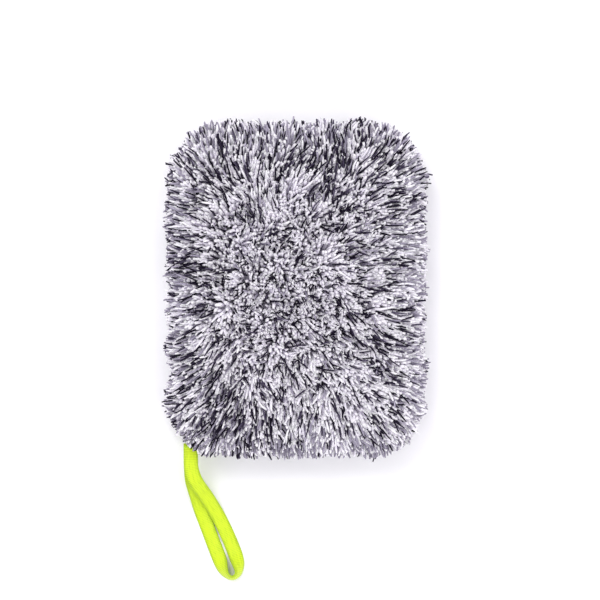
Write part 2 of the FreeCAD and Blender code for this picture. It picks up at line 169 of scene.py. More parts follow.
class MaterialTree:
    """A Principled material and the nodes that feed its shader."""

    def __init__(self, name, roughness, sheen=0.0):
        self.material = bpy.data.materials.new(name)
        self.material.use_nodes = True
        self.nodes = self.material.node_tree.nodes
        self.links = self.material.node_tree.links
        self.shader = self.nodes["Principled BSDF"]
        self.set_shader({"Roughness": roughness, "Specular IOR Level": 0.25,
                         "Sheen Weight": sheen, "Sheen Roughness": 0.5})

    def set_shader(self, values):
        for name, value in values.items():
            self.shader.inputs[name].default_value = value

    def place(self):
        """The object's own coordinates."""
        return self.nodes.new("ShaderNodeTexCoord").outputs["Object"]

    def uv_map(self, name):
        node = self.nodes.new("ShaderNodeUVMap")
        node.uv_map = name
        return node.outputs["UV"]

    def attribute(self, name):
        node = self.nodes.new("ShaderNodeAttribute")
        node.attribute_name = name
        return node.outputs["Fac"]

    def texture(self, kind, vector, bands=None, output="Fac", **inputs):
        """The output of a texture over a vector socket, with its numeric inputs set by name."""
        node = self.nodes.new("ShaderNodeTex" + kind)
        if bands:
            node.bands_direction = bands
        for name, value in inputs.items():
            node.inputs[name].default_value = value
        self.links.new(vector, node.inputs["Vector"])
        return node.outputs[output]

    def math(self, operation, *values):
        """A math node fed by sockets and numbers; returns its output."""
        node = self.nodes.new("ShaderNodeMath")
        node.operation = operation
        for socket, value in zip(node.inputs, values):
            if isinstance(value, (int, float)):
                socket.default_value = value
            else:
                self.links.new(value, socket)
        return node.outputs[0]

    def colour(self, level, stops):
        """Colours the shader by a level, from a ramp's stops of position and colour."""
        ramp = self.nodes.new("ShaderNodeValToRGB")
        elements = ramp.color_ramp.elements
        elements.remove(elements[-1])
        elements[0].position = stops[0][0]
        elements[0].color = (*stops[0][1], 1)
        for position, colour in stops[1:]:
            elements.new(position).color = (*colour, 1)
        self.links.new(level, ramp.inputs["Fac"])
        self.links.new(ramp.outputs["Color"], self.shader.inputs["Base Color"])

    def bump(self, height, distance):
        node = self.nodes.new("ShaderNodeBump")
        node.inputs["Distance"].default_value = distance
        node.inputs["Strength"].default_value = 1.0
        self.links.new(height, node.inputs["Height"])
        self.links.new(node.outputs["Normal"], self.shader.inputs["Normal"])


def strand_material(name, stops, sheen, scatter):
    """Two-ply microfibre yarn: a tone per strand, with painted shade at its foot and painted light at
    its tip, a twist that winds up it and fine fibres.
    """
    ply_count = 2
    turns_up_strand = 9
    fibre_share = 0.45
    twist_share = 0.07
    twist_relief = 0.35
    tree = MaterialTree(name, 0.8, sheen)
    tree.set_shader({"Specular IOR Level": 0.08, "Subsurface Weight": scatter,
                     "Subsurface Radius": (1.0, 0.95, 1.0), "Subsurface Scale": 3 * MM})
    fibres = tree.texture("Noise", tree.place(), Scale=1400, Detail=3)
    split = tree.nodes.new("ShaderNodeSeparateXYZ")
    tree.links.new(tree.uv_map("Yarn"), split.inputs["Vector"])
    plies = tree.math("MULTIPLY", split.outputs["X"], ply_count * WHOLE_TURN)
    turns = tree.math("MULTIPLY", split.outputs["Y"], turns_up_strand * WHOLE_TURN)
    twist = tree.math("SINE", tree.math("ADD", plies, turns))
    grain = tree.math("MULTIPLY_ADD", fibres, fibre_share, tree.attribute("tone"))
    wound = tree.math("MULTIPLY_ADD", twist, twist_share, grain)
    tree.colour(tree.math("SUBTRACT", wound, fibre_share / 2), stops)
    tree.bump(tree.math("MULTIPLY_ADD", twist, twist_relief, fibres), 0.25 * MM)
    return tree.material


def woven_material(name, dark, light, pitch, roughness=0.85, slant=0.0):
    """Cloth with crossing threads at the given pitch, turned by slant for a twill."""
    thread_share = 0.5
    cloud_share = 0.6
    tree = MaterialTree(name, roughness, sheen=0.2)
    place = tree.place()
    turned = tree.nodes.new("ShaderNodeMapping")
    turned.inputs["Rotation"].default_value = (0, 0, slant)
    tree.links.new(place, turned.inputs["Vector"])
    threads = [tree.texture("Wave", turned.outputs["Vector"], bands=axis,
                            Scale=WAVE_REPEAT / pitch, Distortion=0.6, Detail=1) for axis in "XY"]
    crossed = tree.math("MULTIPLY", *threads)
    clouds = tree.math("MULTIPLY", tree.texture("Noise", place, Scale=60), cloud_share)
    level = tree.math("MULTIPLY_ADD", crossed, thread_share, clouds)
    tree.colour(level, [(0.1, dark), (0.75, light)])
    tree.bump(crossed, 0.2 * MM)
    return tree.material


def foam_material():
    """Open-cell foam, shaded by the distance from each cell's middle."""
    tree = MaterialTree("open_cell_foam", 0.95)
    cells = tree.texture("Voronoi", tree.place(), output="Distance", Scale=900)
    tree.colour(cells, [(0.0, (0.62, 0.58, 0.46)), (0.6, (0.86, 0.83, 0.72))])
    tree.bump(cells, 0.4 * MM)
    return tree.material


def thread_material(name, dark, light):
    """Spun thread with the slanted lines of its twist."""
    tree = MaterialTree(name, 0.6, sheen=0.1)
    twist = tree.texture("Wave", tree.place(), bands="DIAGONAL", Scale=700)
    tree.colour(twist, [(0.2, dark), (0.8, light)])
    tree.bump(twist, 0.1 * MM)
    return tree.material


def ribbon_material():
    """Fluorescent ribbon: fine ribs across its width, set by its UVs, and painted shade that darkens its
    edges.
    """
    rib_share = 0.35
    painted_edge_shade = -0.45
    tree = MaterialTree("ribbed_ribbon", 0.5, sheen=0.1)
    place = tree.uv_map("OFBake")
    ribs = tree.texture("Wave", place, bands="Y", Scale=60, Distortion=0.4, Detail=1)
    cloudy = tree.texture("Noise", place, Scale=30, Detail=4)
    mixed = tree.math("MULTIPLY_ADD", ribs, rib_share, cloudy)
    # Painted shade: the colour darkens towards the ribbon's edges, as its rounded section turns away
    # from the light.
    shaded = tree.math("MULTIPLY_ADD", tree.attribute("edge"), painted_edge_shade, mixed)
    tree.colour(shaded, [(0.1, (0.34, 0.50, 0.012)), (0.75, (0.63, 0.81, 0.018))])
    tree.bump(ribs, 0.15 * MM)
    return tree.material


WHITE_STRAND = strand_material(
    "white_strand", [(0.0, (0.72, 0.675, 0.79)), (0.5, (0.90, 0.855, 0.97)), (1.0, (0.97, 0.925, 1.0))],
    sheen=0.15, scatter=0.8)
GREY_STRAND = strand_material(
    "grey_strand", [(0.0, (0.12, 0.108, 0.15)), (1.0, (0.40, 0.37, 0.46))],
    sheen=0.1, scatter=0.3)
DARK_STRAND = strand_material(
    "charcoal_strand",
    [(0.0, (0.004, 0.002, 0.008)), (0.6, (0.013, 0.009, 0.022)), (1.0, (0.08, 0.066, 0.11))],
    sheen=0.0, scatter=0.0)
GROUND_CLOTH = woven_material("knitted_ground", (0.40, 0.39, 0.45), (0.80, 0.78, 0.86), 1.4 * MM)
LINING_CLOTH = woven_material("lining_cloth", (0.58, 0.58, 0.62), (0.84, 0.84, 0.88), 0.5 * MM, 0.6)
TWILL_TAPE = woven_material("twill_tape", (0.10, 0.10, 0.12), (0.26, 0.26, 0.30), 0.8 * MM, 0.8,
                            slant=math.radians(45))
FOAM = foam_material()
PALE_THREAD = thread_material("pale_thread", (0.55, 0.55, 0.58), (0.85, 0.85, 0.88))
LIME_THREAD = thread_material("lime_thread", (0.42, 0.62, 0.02), (0.66, 0.92, 0.05))
RIBBON = ribbon_material()


# ---------------- camera, light and floor

def add_camera():
    """Straight above the mitt and far away; the picture is as wide as this field on the floor."""
    field = 455 * MM
    height = 2.2
    middle = (2.7 * MM, -7.3 * MM)
    data = bpy.data.cameras.new("camera")
    data.sensor_width = 36
    data.lens = data.sensor_width * height / field
    data.clip_end = 10
    camera = collection_link(bpy.data.objects.new("camera", data))
    camera.location = (*middle, height)
    bpy.context.scene.camera = camera


def add_light_panel(name, place, size, power):
    """A square area light that faces the mitt."""
    data = bpy.data.lights.new(name, "AREA")
    data.shape = "SQUARE"
    data.size = size
    data.energy = power
    light = collection_link(bpy.data.objects.new(name, data))
    light.location = place
    light.rotation_euler = (-Vector(place)).to_track_quat("-Z", "Y").to_euler()


def add_light():
    """An even pale surround, a soft key from beyond the tip's left and a weaker fill opposite."""
    world = bpy.data.worlds.new("studio")
    world.use_nodes = True
    surround = world.node_tree.nodes["Background"]
    surround.inputs["Color"].default_value = (1.0, 0.985, 1.025, 1)
    surround.inputs["Strength"].default_value = 0.93
    bpy.context.scene.world = world
    add_light_panel("key", (-0.6, 0.8, 1.6), size=0.9, power=14)
    add_light_panel("fill", (0.9, -0.9, 1.3), size=1.0, power=9)


def add_floor():
    bpy.ops.mesh.primitive_grid_add(x_subdivisions=2, y_subdivisions=2, size=8)
    floor = bpy.context.object
    floor.name = "floor"
    tree = MaterialTree("pale_floor", 0.9)
    tree.set_shader({"Base Color": (0.97, 0.97, 0.98, 1)})
    floor.data.materials.append(tree.material)


# ---------------- the cloth panels

def corner_rounded(x, y, half_width, half_length, corner):
    """Maps a rectangle's points so that its two fingertip corners become quarter circles."""
    a = np.clip((np.abs(x) - half_width + corner) / corner, 0, 1)
    b = np.clip((y - half_length + corner) / corner, 0, 1)
    both = (a > 0) & (b > 0)
    across = half_width - corner + corner * a * np.sqrt(1 - b * b / 2)
    along = half_length - corner + corner * b * np.sqrt(1 - a * a / 2)
    return np.where(both, np.sign(x) * across, x), np.where(both, along, y)


def edge_distance(x, y, corner=PANEL_CORNER, half_width=HALF_WIDTH, half_length=HALF_LENGTH):
    """How far a point is inside the panel's three closed sides."""
    a = np.abs(x) - half_width + corner
    b = y - half_length + corner
    outside = np.hypot(np.maximum(a, 0), np.maximum(b, 0))
    return corner - outside - np.minimum(np.maximum(a, b), 0)


def rounded_drop(inside, radius):
    """How far a rounded edge has dropped, at a distance inside it."""
    return radius - np.sqrt(np.maximum(radius**2 - np.maximum(radius - inside, 0)**2, 0))


def swell(crown, inside, y, start=-HALF_LENGTH):
    """How far a crowned face stands off its flat level; towards the mouth it begins at start."""
    full = -HALF_LENGTH + CROWN_RISE_AT_MOUTH
    return crown * smoothstep(0, CROWN_RISE, inside) * smoothstep(start, full, y)


def face_height(x, y, crown=CROWN):
    """How far strands' roots stand off the cloth's flat level: crowned, and rounded at the sides."""
    inside = edge_distance(x, y)
    return swell(crown, inside, y, -HALF_LENGTH - 20 * MM) - rounded_drop(inside, WALL_ROUND)


def tray_mesh(name, inset, face, rim, thickness, material, crown):
    """A cloth panel: a crowned face whose three closed sides turn down to the seam."""
    columns, rows, wall_rows = 56, 72, 5
    half_width, half_length = HALF_WIDTH - inset, HALF_LENGTH - inset
    corner = PANEL_CORNER - inset
    u, v = np.meshgrid(np.linspace(-1, 1, columns + 1), np.linspace(-1, 1, rows + 1))
    y = np.where(v < 0, v * HALF_LENGTH, v * half_length)
    x, y = corner_rounded(u * half_width, y, half_width, half_length, corner)
    outward = 1 if face > rim else -1
    inside = edge_distance(x, y, corner, half_width, half_length)
    round_off = min(WALL_ROUND, 0.6 * abs(face - rim))
    z = face + outward * (swell(crown, inside, y) - rounded_drop(inside, round_off))
    face_points = stacked(x, y, z).reshape(-1, 3)
    index = np.arange(len(face_points)).reshape(rows + 1, columns + 1)
    path = np.concatenate([index[:, 0], index[-1, 1:], index[-2::-1, -1]])
    edge = face_points[path]
    walls = []
    for step in range(1, wall_rows + 1):
        row = edge.copy()
        row[:, 2] += (rim - edge[:, 2]) * step / wall_rows
        walls.append(row)
    wall_index = len(face_points) + np.arange(wall_rows * len(path)).reshape(wall_rows, len(path))
    quads = np.concatenate([grid_quads(index), grid_quads(np.vstack([path, wall_index]))])
    if outward < 0:
        quads = quads[:, ::-1]
    points = np.concatenate([face_points, *walls])
    tray = mesh_from_arrays(name, points, np.full(len(quads), 4), quads.ravel(), material)
    return thicken(tray, thickness, -1)


# The closed sides in the order that share follows: up the left, a corner, the tip, a corner, down.
SIDE_STRAIGHT = 2 * HALF_LENGTH - PANEL_CORNER
CORNER_ARC = PANEL_CORNER * math.pi / 2
TIP_STRAIGHT = 2 * (HALF_WIDTH - PANEL_CORNER)
CLOSED_SIDES_LENGTH = 2 * SIDE_STRAIGHT + 2 * CORNER_ARC + TIP_STRAIGHT


def closed_sides(share, inset):
    """Points and outward directions along the panel's three closed sides; share runs from 0 to 1."""
    along = share * CLOSED_SIDES_LENGTH
    past_side = along - SIDE_STRAIGHT
    past_tip = past_side - CORNER_ARC - TIP_STRAIGHT
    angle = math.pi - np.clip(past_side / PANEL_CORNER, 0, math.pi / 2)
    angle = angle - np.clip(past_tip / PANEL_CORNER, 0, math.pi / 2)
    normal = stacked(np.cos(angle), np.sin(angle), 0)
    x = np.clip(past_side - CORNER_ARC, 0, TIP_STRAIGHT) + PANEL_CORNER - HALF_WIDTH
    down = np.maximum(past_tip - CORNER_ARC, 0)
    y = np.minimum(along, SIDE_STRAIGHT) - down - HALF_LENGTH
    return stacked(x, y, 0) + normal * (PANEL_CORNER - inset), normal


def side_blend(obj):
    """Bakes the place of a piece on the closed sides into its mesh."""
    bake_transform(obj)


def make_cloths():
    """The knitted ground that the pile grows from, one panel to each half."""
    for side, face, crown in (("palm", PALM_FACE, PALM_CROWN), ("back", BACK_FACE, CROWN)):
        cloth = tray_mesh(side + "_ground_cloth", 0.0, face, SEAM, CLOTH_THICKNESS, GROUND_CLOTH, crown)
        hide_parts(side + "_cloth")
        side_blend(cloth)


def make_linings():
    """The hand pocket's smooth lining, one panel to each half."""
    inset = HALF_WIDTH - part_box("back_lining")[1].x
    for side in ("palm", "back"):
        low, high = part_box(side + "_lining")
        face = high.z if side == "back" else low.z
        lining = tray_mesh(side + "_pocket_lining", inset, face, SEAM, LINING_THICKNESS, LINING_CLOTH,
                           crown=0.0)
        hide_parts(side + "_lining")
        side_blend(lining)


def make_foams():
    """Foam slabs with soft edges; the back one is a little thicker in the middle."""
    columns, rows = 40, 52
    corner = 20 * MM
    edge_pinch = 1.5 * MM
    pinch_reach = 4 * MM
    for side, outward, crown in (("palm", -1, 0.0), ("back", 1, CROWN)):
        low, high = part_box(side + "_foam")
        outer, inner = (high.z, low.z) if side == "back" else (low.z, high.z)
        half_width, half_length = high.x, HALF_LENGTH - (HALF_WIDTH - high.x)
        u, v = np.meshgrid(np.linspace(-1, 1, columns + 1), np.linspace(-1, 1, rows + 1))
        y = np.where(v < 0, -v * low.y, v * half_length)
        x, y = corner_rounded(u * half_width, y, half_width, half_length, corner)
        inside = np.minimum(edge_distance(x, y, corner, half_width, half_length), y - low.y)
        thin = edge_pinch * (1 - smoothstep(0, pinch_reach, inside))
        raised = crown * smoothstep(0, CROWN_RISE, inside)
        top = stacked(x, y, outer + outward * (raised - thin)).reshape(-1, 3)
        base = stacked(x, y, inner + outward * thin).reshape(-1, 3)
        count = len(top)
        index = np.arange(count).reshape(rows + 1, columns + 1)
        quads = grid_quads(index)
        rim = np.concatenate([index[0, :], index[1:, -1], index[-1, -2::-1], index[-2:0:-1, 0]])
        after = np.roll(rim, -1)
        sides = np.stack([after, rim, rim + count, after + count], axis=1)
        faces = np.concatenate([quads, (quads + count)[:, ::-1], sides])
        if outward < 0:
            faces = faces[:, ::-1]
        pad = mesh_from_arrays(side + "_foam_pad", np.concatenate([top, base]),
                               np.full(len(faces), 4), faces.ravel(), FOAM)
        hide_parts(side + "_foam")
        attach(pad, side)


# ---------------- the pile

STRAND_SIDES = 5
STRAND_RINGS = 7
UNDERLAYER_RINGS = 4
UNDERLAYER_MARGIN = 6 * MM
PITCH = 2.42 * MM
PALM_PITCH = 3.15 * MM
ROOT_DEPTH = 0.4 * MM
PILE_HALF_WIDTH = pile_high.x - 2.5 * MM
PILE_HALF_LENGTH = (pile_high.y - pile_low.y) / 2 - 2.4 * MM
PILE_MIDDLE = 0.2 * MM
PILE_CORNER = 44 * MM
PILE_SHOULDER = 11 * MM

# The pile is combed away from a whorl; a stroke of the hand bent it again in one place. Places in mm.
WHORL = (-24, 6)
STROKE_MIDDLE = (62, 12)
STROKE_REACH = 34
STROKE_ANGLE = math.radians(-58)
# Places where more of the strands are dark, or fewer: middle and reach in mm, change of darkness.
DARKER_PATCHES = [
    ((36, 80), 36, 0.19), ((-40, 98), 34, 0.09), ((-86, 25), 42, 0.15), ((-48, -86), 32, 0.17),
    ((76, 40), 38, -0.10), ((15, -82), 26, -0.09), ((-8, 62), 12, -0.15),
]


def falling_off(x, y, middle, reach):
    """A round patch that fades from 1 at its middle, with middle and reach in millimetres."""
    return np.exp(-((x - middle[0] * MM)**2 + (y - middle[1] * MM)**2) / (reach * MM)**2)


def lean_field(x, y):
    """The plan direction that strands lean in at each root, its length being the lean in radians."""
    upright_lean, combed_lean, border_lean, stroke_lean = 0.16, 0.72, 1.15, 0.42
    squareness = 5
    u = x / HALF_WIDTH
    v = y / HALF_LENGTH
    outward = unit(np.stack([np.sign(u) * np.abs(u)**squareness,
                             np.sign(v) * np.abs(v)**squareness], axis=-1))
    border = smoothstep(0.55, 0.95, np.maximum(np.abs(u), np.abs(v)))[..., None]
    away = np.stack([x - WHORL[0] * MM, y - WHORL[1] * MM], axis=-1)
    distance = np.linalg.norm(away, axis=-1)
    amount = upright_lean + combed_lean * smoothstep(22 * MM, 100 * MM, distance)[..., None]
    stroke = stroke_lean * falling_off(x, y, STROKE_MIDDLE, STROKE_REACH)[..., None]
    combed = unit(away) * amount + stroke * np.array([math.cos(STROKE_ANGLE), math.sin(STROKE_ANGLE)])
    lean = combed * (1 - border) + border_lean * border * unit(unit(away) * 0.35 + outward)
    wander = np.stack([Waves(seed, 45 * MM)(x, y) for seed in (3, 4)], axis=-1)
    ripple = np.stack([Waves(seed, 16 * MM)(x, y) for seed in (5, 6)], axis=-1)
    return lean + 0.16 * wander + (0.27 - 0.10 * border) * ripple


def jittered_grid(rng, low, high, pitch):
    """Spread points in a rectangle, in staggered rows like knitting, and each one's yarn: 0, 1 or 2."""
    jitter = 0.32
    rows = np.arange(low[1], high[1], pitch)
    columns = np.arange(low[0], high[0], pitch)
    x, y = np.meshgrid(columns, rows)
    x = x + (np.arange(len(rows)) % 2)[:, None] * pitch / 2
    x = x + rng.uniform(-jitter, jitter, x.shape) * pitch
    y = y + rng.uniform(-jitter, jitter, x.shape) * pitch
    yarn = (np.arange(len(columns))[None, :] + 2 * (np.arange(len(rows)) // 2)[:, None]) % 3
    return x.ravel(), y.ravel(), yarn.ravel()


def face_strands(rng, side):
    """Roots, first and last directions, lengths and yarns of the strands on a panel's face.

    The back's strands stand or lean by the field; the palm's are pressed flat by the mitt's weight.
    """
    most_lean = 1.15
    pitch = PITCH if side == "back" else PALM_PITCH
    x, y, yarn = jittered_grid(rng, (-HALF_WIDTH, -HALF_LENGTH), (HALF_WIDTH, HALF_LENGTH), pitch)
    keep = (edge_distance(x, y) > 1.5 * MM) & (y > -HALF_LENGTH + 1 * MM)
    x, y, yarn = x[keep], y[keep], yarn[keep]
    count = len(x)
    lean = lean_field(x, y) + rng.normal(0, 0.15, (count, 2))
    amount = np.linalg.norm(lean, axis=1)
    way = np.concatenate([unit(lean), np.zeros((count, 1))], axis=1)
    if side == "back":
        roots = stacked(x, y, BACK_FACE + face_height(x, y) - ROOT_DEPTH)
        amount = np.minimum(amount, most_lean)
        overhang = 1 - smoothstep(0, 14 * MM, edge_distance(x, y))
        first = np.sin(0.5 * amount)[:, None] * way + np.cos(0.5 * amount)[:, None] * UP
        late = np.minimum(1.42 * amount, 1.5) + 0.5 * overhang
        last = np.sin(late)[:, None] * way + np.cos(late)[:, None] * UP
        length = (18.0 + 6.5 * smoothstep(0.35, 1.05, amount)) * MM
    else:
        roots = stacked(x, y, PALM_FACE + ROOT_DEPTH - face_height(x, y, crown=0))
        first = 0.55 * way - 0.8 * UP
        last = 0.95 * way + 0.10 * UP
        length = np.full(count, 17 * MM)
    return roots, first, last, length * rng.uniform(0.88, 1.08, count), yarn


def side_strands(rng):
    """The same for the strands on the three closed sides."""
    along, height, yarn = jittered_grid(rng, (0, PALM_FACE + 1 * MM),
                                        (CLOSED_SIDES_LENGTH, BACK_FACE - 1 * MM), PITCH)
    roots, normal = closed_sides(along / CLOSED_SIDES_LENGTH, ROOT_DEPTH)
    roots[:, 2] = height
    count = len(roots)
    tangent = np.cross(UP, normal)
    rise = (height - SEAM) / (BACK_FACE - SEAM)
    sway = rng.normal(0, 0.2, count) + 0.2 * Waves(7, 30 * MM)(roots[:, 0], roots[:, 1])
    near_mouth = smoothstep(-HALF_LENGTH + 30 * MM, -HALF_LENGTH, roots[:, 1])
    sway = sway - 0.4 * near_mouth * np.sign(roots[:, 0])
    first = normal + (0.5 * sway)[:, None] * tangent + (0.25 * rise + 0.1)[:, None] * UP
    last = normal + (1.4 * sway)[:, None] * tangent
    last = last + (0.35 * rise - 0.32 + rng.normal(0, 0.12, count))[:, None] * UP
    return roots, unit(first), unit(last), 17.5 * MM * rng.uniform(0.82, 1.1, count), yarn


def mouth_strands(rng, side):
    """The same for the fringe that stands out over the mouth, from the panel's front edge."""
    closer = 0.7
    depth = 3 * PITCH * closer
    reach = HALF_WIDTH - 2 * MM
    x, step, yarn = jittered_grid(rng, (-reach, 0), (reach, depth), PITCH * closer)
    count = len(x)
    level = step / depth
    outward = 1 if side == "back" else -1
    face = BACK_FACE if side == "back" else PALM_FACE
    roots = stacked(x, -HALF_LENGTH + 0.3 * MM + level * 2.5 * MM,
                    face - outward * (0.5 - 0.4 * level) * MM)
    fan = 0.5 * (x / HALF_WIDTH)**3
    sway = rng.normal(0, 0.22, count) + 0.25 * Waves(8, 35 * MM)(x, np.zeros(count)) + fan
    ahead = stacked(sway * 0.6, -1, 0)
    if side == "back":
        first = ahead + (0.35 + 0.5 * level)[:, None] * UP
        last = ahead + stacked(sway * 0.6, 0, -0.75 + 0.6 * level)
    else:
        first = ahead - 0.35 * UP
        last = ahead + stacked(sway * 0.6, 0, 0.02)
    return roots, unit(first), unit(last), 15.5 * MM * rng.uniform(0.8, 1.12, count), yarn


def strand_lines(rng, roots, first, last, length, rings=STRAND_RINGS):
    """Each strand's centreline: a bend from first to last direction, with a slight wave."""
    swing_size = 0.9 * MM
    half_waves = 1.7
    lowest = FLOOR + 0.9 * MM
    squashed = 0.12
    t = np.linspace(0, 1, rings)[None, :, None]
    reach = length[:, None, None]
    lines = roots[:, None, :] + reach * (first[:, None, :] * t + (last - first)[:, None, :] * t * t / 2)
    sideways = unit(np.cross(first + last, rng.normal(0, 1, roots.shape)))
    other = unit(np.cross(first + last, sideways))
    swing = rng.normal(0, swing_size, (len(roots), 2))
    phase = rng.uniform(0, 2 * math.pi, (len(roots), 2))
    for vector, column in ((sideways, 0), (other, 1)):
        turn = phase[:, column, None]
        wave = np.sin(t[..., 0] * math.pi * half_waves + turn) - np.sin(turn)
        lines = lines + vector[:, None, :] * (wave * t[..., 0] * swing[:, column, None])[..., None]
    above = lines[..., 2] - lowest
    lines[..., 2] = lowest + np.where(above > 0, above, -squashed * above)
    return lines


def outline_excess(x, y):
    """How far a point is outside the outline that the pile's tips are sheared to."""
    a = np.abs(x) - PILE_HALF_WIDTH + PILE_CORNER
    b = np.abs(y - PILE_MIDDLE) - PILE_HALF_LENGTH + PILE_CORNER
    return np.hypot(np.maximum(a, 0), np.maximum(b, 0)) + np.minimum(np.maximum(a, b), 0) - PILE_CORNER


def shear(rng, lines, margin=0.0):
    """Shortens the strands that would pass the outline, leaving it a little ragged."""
    roots, tips = lines[:, 0, :], lines[:, -1, :]
    ragged = rng.normal(0, 1.5 * MM, len(lines))
    ragged = ragged + 1.4 * MM * Waves(9, 24 * MM)(tips[:, 0], tips[:, 1])
    inside = -outline_excess(roots[:, 0], roots[:, 1])
    rounded = PILE_SHOULDER * smoothstep(BACK_FACE, pile_high.z, tips[:, 2])
    beyond = np.maximum(outline_excess(tips[:, 0], tips[:, 1]) + rounded + margin - ragged, 0)
    shortest_share = 0.15
    share = np.maximum(inside / (np.maximum(inside, 0) + beyond + 1e-6), shortest_share)
    return roots[:, None, :] + (lines - roots[:, None, :]) * share[:, None, None]


def gather_tufts(rng, lines):
    """Draws neighbouring tips together, as damp or combed pile gathers."""
    tuft_pitch = 9 * MM
    pull = 0.16
    upward_share = 0.3
    block_size = 1024
    tips = lines[:, -1, :]
    tufts = max(1, int(len(tips) * (PITCH / tuft_pitch)**2))
    centres = tips[rng.choice(len(tips), tufts, replace=False)]
    nearest = np.empty(len(tips), int)
    for start in range(0, len(tips), block_size):
        block = tips[start:start + block_size]
        gap = ((block[:, None, :] - centres[None, :, :])**2).sum(axis=2)
        nearest[start:start + block_size] = gap.argmin(axis=1)
    t = np.linspace(0, 1, STRAND_RINGS)[None, :, None]
    offset = centres[nearest] - tips
    offset[:, 2] *= upward_share
    amount = pull * rng.uniform(0.4, 1.2, len(tips))
    return lines + offset[:, None, :] * amount[:, None, None] * t**1.6


def strand_mesh(name, lines, radius, tone, material, rng):
    """Round strands with blunt tips, all in one mesh: per strand, its rings and then its tip point."""
    count, rings = lines.shape[:2]
    sides = STRAND_SIDES
    tip_height = 0.45
    along = unit(np.gradient(lines, axis=1))
    reference = unit(np.cross(lines[:, -1] - lines[:, 0], rng.normal(0, 1, (count, 3))))
    sideways = reference[:, None, :]
    across = unit(sideways - along * (along * sideways).sum(-1, keepdims=True))
    other = np.cross(along, across)
    t = np.linspace(0, 1, rings)
    girth = np.interp(t, [0, 0.15, 0.85, 1], [0.8, 1, 1.0, 0.72])
    unevenness = rng.uniform(0.86, 1.12, (count, rings))
    spread = radius[:, None, None] * (girth[None, :] * unevenness)[:, :, None]
    angle = 2 * math.pi * np.arange(sides) / sides
    rim = (lines[:, :, None, :]
           + across[:, :, None, :] * (spread * np.cos(angle))[..., None]
           + other[:, :, None, :] * (spread * np.sin(angle))[..., None])
    tip = lines[:, -1, :] + along[:, -1, :] * (radius * tip_height)[:, None]
    points = np.concatenate([rim.reshape(count, rings * sides, 3), tip[:, None, :]], axis=1)
    per_strand = rings * sides + 1
    ring, side = np.meshgrid(np.arange(rings - 1), np.arange(sides), indexing="ij")
    ring, side = ring.ravel(), side.ravel()
    beyond = (side + 1) % sides
    quads = np.stack([ring * sides + side, ring * sides + beyond,
                      (ring + 1) * sides + beyond, (ring + 1) * sides + side], axis=1)
    last_ring = (rings - 1) * sides
    around = np.arange(sides)
    cap = np.stack([last_ring + around, last_ring + (around + 1) % sides,
                    np.full(sides, per_strand - 1)], axis=1)
    local = np.concatenate([quads.ravel(), cap.ravel()])
    corners = (np.arange(count)[:, None] * per_strand + local[None, :]).ravel()
    sizes = np.tile(np.concatenate([np.full(len(quads), 4), np.full(len(cap), 3)]), count)
    obj = mesh_from_arrays(name, points.reshape(-1, 3), sizes, corners, material)
    add_strand_uvs(obj, count, rings, ring, side)
    attribute = obj.data.attributes.new("tone", "FLOAT", "POINT")
    # Painted shade and painted light: each strand's tone drops towards its foot, deep among the other
    # strands, and rises at its tip on the pile's top.
    painted_foot_shade, painted_tip_light = -0.18, 0.08
    gradient = np.interp(t, [0, 0.5, 1], [painted_foot_shade, 0.0, painted_tip_light])
    gradient = np.concatenate([np.repeat(gradient, sides), [painted_tip_light]])
    tones_and_painted_light = tone[:, None] + gradient[None, :]
    attribute.data.foreach_set("value", tones_and_painted_light.astype(np.float32).ravel())
    return obj


def add_strand_uvs(obj, count, rings, ring, side):
    """Two UV maps: a cell of a square grid for each strand's bake, and round and up it for its twist."""
    sides = STRAND_SIDES
    around = np.arange(sides)
    quad_u = np.stack([side, side + 1, side + 1, side], axis=1) / sides
    quad_v = np.stack([ring, ring, ring + 1, ring + 1], axis=1) / rings
    cap_u = np.stack([around, around + 1, around + 0.5], axis=1) / sides
    cap_v = np.tile([rings - 1, rings - 1, rings], (sides, 1)) / rings
    u = np.concatenate([quad_u.ravel(), cap_u.ravel()])[None, :]
    v = np.concatenate([quad_v.ravel(), cap_v.ravel()])[None, :]
    cells = math.ceil(math.sqrt(count))
    column = (np.arange(count) % cells)[:, None]
    row = (np.arange(count) // cells)[:, None]
    margin = 0.06
    cell_u = (column + margin + u * (1 - 2 * margin)) / cells
    cell_v = (row + margin + v * (1 - 2 * margin)) / cells
    yarn_u = np.broadcast_to(u, cell_u.shape)
    yarn_v = np.broadcast_to(v, cell_v.shape)
    for name, place_u, place_v in (("OFBake", cell_u, cell_v), ("Yarn", yarn_u, yarn_v)):
        layer = obj.data.uv_layers.new(name=name)
        flat = np.stack([place_u, place_v], axis=-1)
        layer.data.foreach_set("uv", flat.astype(np.float32).ravel())


# The three colours of strand in the order of darkness, with their lengths' share and their radii.
STRAND_KINDS = (("white", WHITE_STRAND), ("grey", GREY_STRAND), ("charcoal", DARK_STRAND))
KIND_LENGTHS = [0.90, 0.98, 1.05]
KIND_RADII = [0.88 * MM, 0.72 * MM, 0.63 * MM]
WHITE, GREY, CHARCOAL = 0, 1, 2


